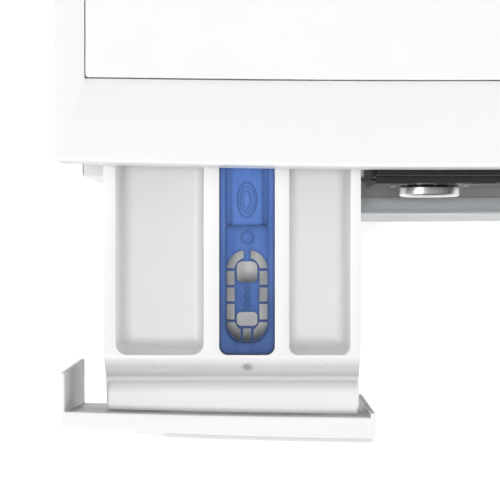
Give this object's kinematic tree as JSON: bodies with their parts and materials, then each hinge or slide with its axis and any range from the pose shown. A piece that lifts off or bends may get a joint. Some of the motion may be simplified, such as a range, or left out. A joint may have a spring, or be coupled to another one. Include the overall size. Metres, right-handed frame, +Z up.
{
  "type": "front load washing machine",
  "caption": "White front-loading washing machine with a pulled-out detergent drawer, blue softener siphon cover, black glass controls and a round silver-rimmed door.",
  "frame": {"origin": "on the floor, midway between the four feet", "axes": "+X to the right seen from the front, +Y backwards, +Z up"},
  "size_m": [0.598, 0.7927, 0.848],
  "materials": {
    "white_enamel": "satin white enamelled steel",
    "white_plastic": "smooth white ABS",
    "worktop_laminate": "white laminated board",
    "galvanised_steel": "galvanised sheet",
    "grey_plastic": "dark grey moulded plastic",
    "black_plastic": "black moulded plastic",
    "fascia_plastic": "black moulded plastic, fine grain",
    "control_glass": "black glossy glass",
    "silver_ring": "silver metallic lacquer",
    "chrome": "bright chrome",
    "door_glass": "clear glass",
    "rubber_grey": "grey rubber",
    "rubber_black": "black rubber",
    "insert_blue": "blue polypropylene",
    "tub_plastic": "light grey filled polypropylene",
    "stainless": "stainless steel",
    "cast_weight": "cast counterweight",
    "aluminium": "cast aluminium",
    "zinc_steel": "zinc-plated steel",
    "board_green": "circuit board",
    "base_plastic": "grey moulded base"
  },
  "bodies": {
    "cabinet": {"base_frame": "base_plastic", "side_panel_left": "white_enamel", "side_panel_right": "white_enamel", "front_panel": "white_enamel", "rear_panel": "galvanised_steel", "rear_service_cover": "galvanised_steel", "cabinet_screws": "zinc_steel", "top_crossbars": "galvanised_steel", "worktop_frame": "white_plastic", "worktop_board": "worktop_laminate", "fascia_shell": "fascia_plastic", "control_glass": "control_glass", "control_board": "board_green", "dispenser_housing": "tub_plastic", "dispenser_cover": "tub_plastic", "inlet_valve": "white_plastic", "drain_outlet": "black_plastic", "cord_gland": "black_plastic", "door_lock": "black_plastic", "door_hinge_bracket": "zinc_steel", "door_gasket": "rubber_grey", "gasket_clamp_ring": "stainless", "tub_springs": "zinc_steel", "damper_cylinders": "black_plastic", "drain_pump": "black_plastic", "fill_hose": "rubber_black", "sump_hose": "rubber_black"},
    "drawer": {"drawer_front": "white_plastic", "drawer_tray": "white_plastic"},
    "insert": {"softener_insert": "insert_blue"},
    "door": {"door_ring": "silver_ring", "door_frame": "grey_plastic", "door_glass": "door_glass", "door_hinge_arm": "zinc_steel"},
    "handle": {"door_handle": "silver_ring", "latch_hook": "zinc_steel"},
    "tub": {"tub_front": "tub_plastic", "tub_rear": "tub_plastic", "front_counterweight": "cast_weight", "top_counterweight": "cast_weight", "motor_body": "zinc_steel", "damper_rods": "zinc_steel", "heater_element": "stainless", "drum_bearings": "stainless", "drive_belt": "rubber_black"},
    "drum": {"drum_shell": "stainless", "drum_paddles": "white_plastic", "drum_spider": "aluminium", "drum_pulley": "aluminium"},
    "rotor": {"motor_rotor": "zinc_steel"},
    "knob": {"program_knob": "chrome"},
    "power_key": {"power_button": "chrome"},
    "start_key": {"start_button": "chrome"},
    "flap": {"service_flap": "white_plastic"},
    "filter": {"drain_filter": "white_plastic"},
    "impeller": {"pump_impeller": "black_plastic"},
    "foot_fl": {"foot_front_left": "black_plastic"},
    "foot_fr": {"foot_front_right": "black_plastic"},
    "foot_rl": {"foot_rear_left": "black_plastic"},
    "foot_rr": {"foot_rear_right": "black_plastic"}
  },
  "joints": [
    {"name": "drawer_slide", "type": "slide", "parent": "cabinet", "child": "drawer", "axis": [0, -1, 0], "range_m": [-0.207, 0]},
    {"name": "insert_tilt", "type": "hinge", "parent": "drawer", "child": "insert", "pos_m": [-0.15185, -0.233, 0.792], "axis": [-1, 0, 0], "range_deg": [0, 8]},
    {"name": "door_hinge", "type": "hinge", "parent": "cabinet", "child": "door", "pos_m": [-0.238, -0.292, 0.425], "axis": [0, 0, -1], "range_deg": [0, 150]},
    {"name": "handle_pull", "type": "hinge", "parent": "door", "child": "handle", "pos_m": [0.186, -0.3, 0.425], "axis": [0, 0, -1], "range_deg": [0, 12], "stiffness_Nm_per_rad": 0.8, "springref_deg": -8.59},
    {"name": "tub_bounce", "type": "slide", "parent": "cabinet", "child": "tub", "axis": [0, 0, 1], "range_m": [-0.008, 0.008], "stiffness_N_per_m": 20000, "springref_m": 0.02539, "deforming": ["tub_springs", "fill_hose", "sump_hose", "door_gasket"]},
    {"name": "drum_spin", "type": "hinge", "parent": "tub", "child": "drum", "pos_m": [0, 0, 0.425], "axis": [0, 1, 0], "continuous": true},
    {"name": "rotor_spin", "type": "hinge", "parent": "tub", "child": "rotor", "pos_m": [0.07, 0.1, 0.105], "axis": [0, 1, 0], "continuous": true},
    {"name": "knob_turn", "type": "hinge", "parent": "cabinet", "child": "knob", "pos_m": [0, -0.29, 0.749], "axis": [0, -1, 0], "continuous": true},
    {"name": "power_press", "type": "slide", "parent": "cabinet", "child": "power_key", "axis": [0, 1, 0], "range_m": [0, 0.002], "stiffness_N_per_m": 900, "springref_m": -0.0008},
    {"name": "start_press", "type": "slide", "parent": "cabinet", "child": "start_key", "axis": [0, 1, 0], "range_m": [0, 0.002], "stiffness_N_per_m": 900, "springref_m": -0.0008},
    {"name": "flap_fold", "type": "hinge", "parent": "cabinet", "child": "flap", "pos_m": [0.18, -0.2706, 0.034], "axis": [1, 0, 0], "range_deg": [0, 92]},
    {"name": "filter_turn", "type": "hinge", "parent": "cabinet", "child": "filter", "pos_m": [0.18, -0.25, 0.078], "axis": [0, -1, 0], "range_deg": [0, 90]},
    {"name": "impeller_spin", "type": "hinge", "parent": "cabinet", "child": "impeller", "pos_m": [0.18, -0.15, 0.078], "axis": [0, -1, 0], "continuous": true},
    {"name": "foot_fl_screw", "type": "slide", "parent": "cabinet", "child": "foot_fl", "axis": [0, 0, -1], "range_m": [0, 0.012]},
    {"name": "foot_fr_screw", "type": "slide", "parent": "cabinet", "child": "foot_fr", "axis": [0, 0, -1], "range_m": [0, 0.012]},
    {"name": "foot_rl_screw", "type": "slide", "parent": "cabinet", "child": "foot_rl", "axis": [0, 0, -1], "range_m": [0, 0.012]},
    {"name": "foot_rr_screw", "type": "slide", "parent": "cabinet", "child": "foot_rr", "axis": [0, 0, -1], "range_m": [0, 0.012]}
  ],
  "couplings": [
    {"joint": "rotor_spin", "follows": "drum_spin", "ratio": 14}
  ]
}
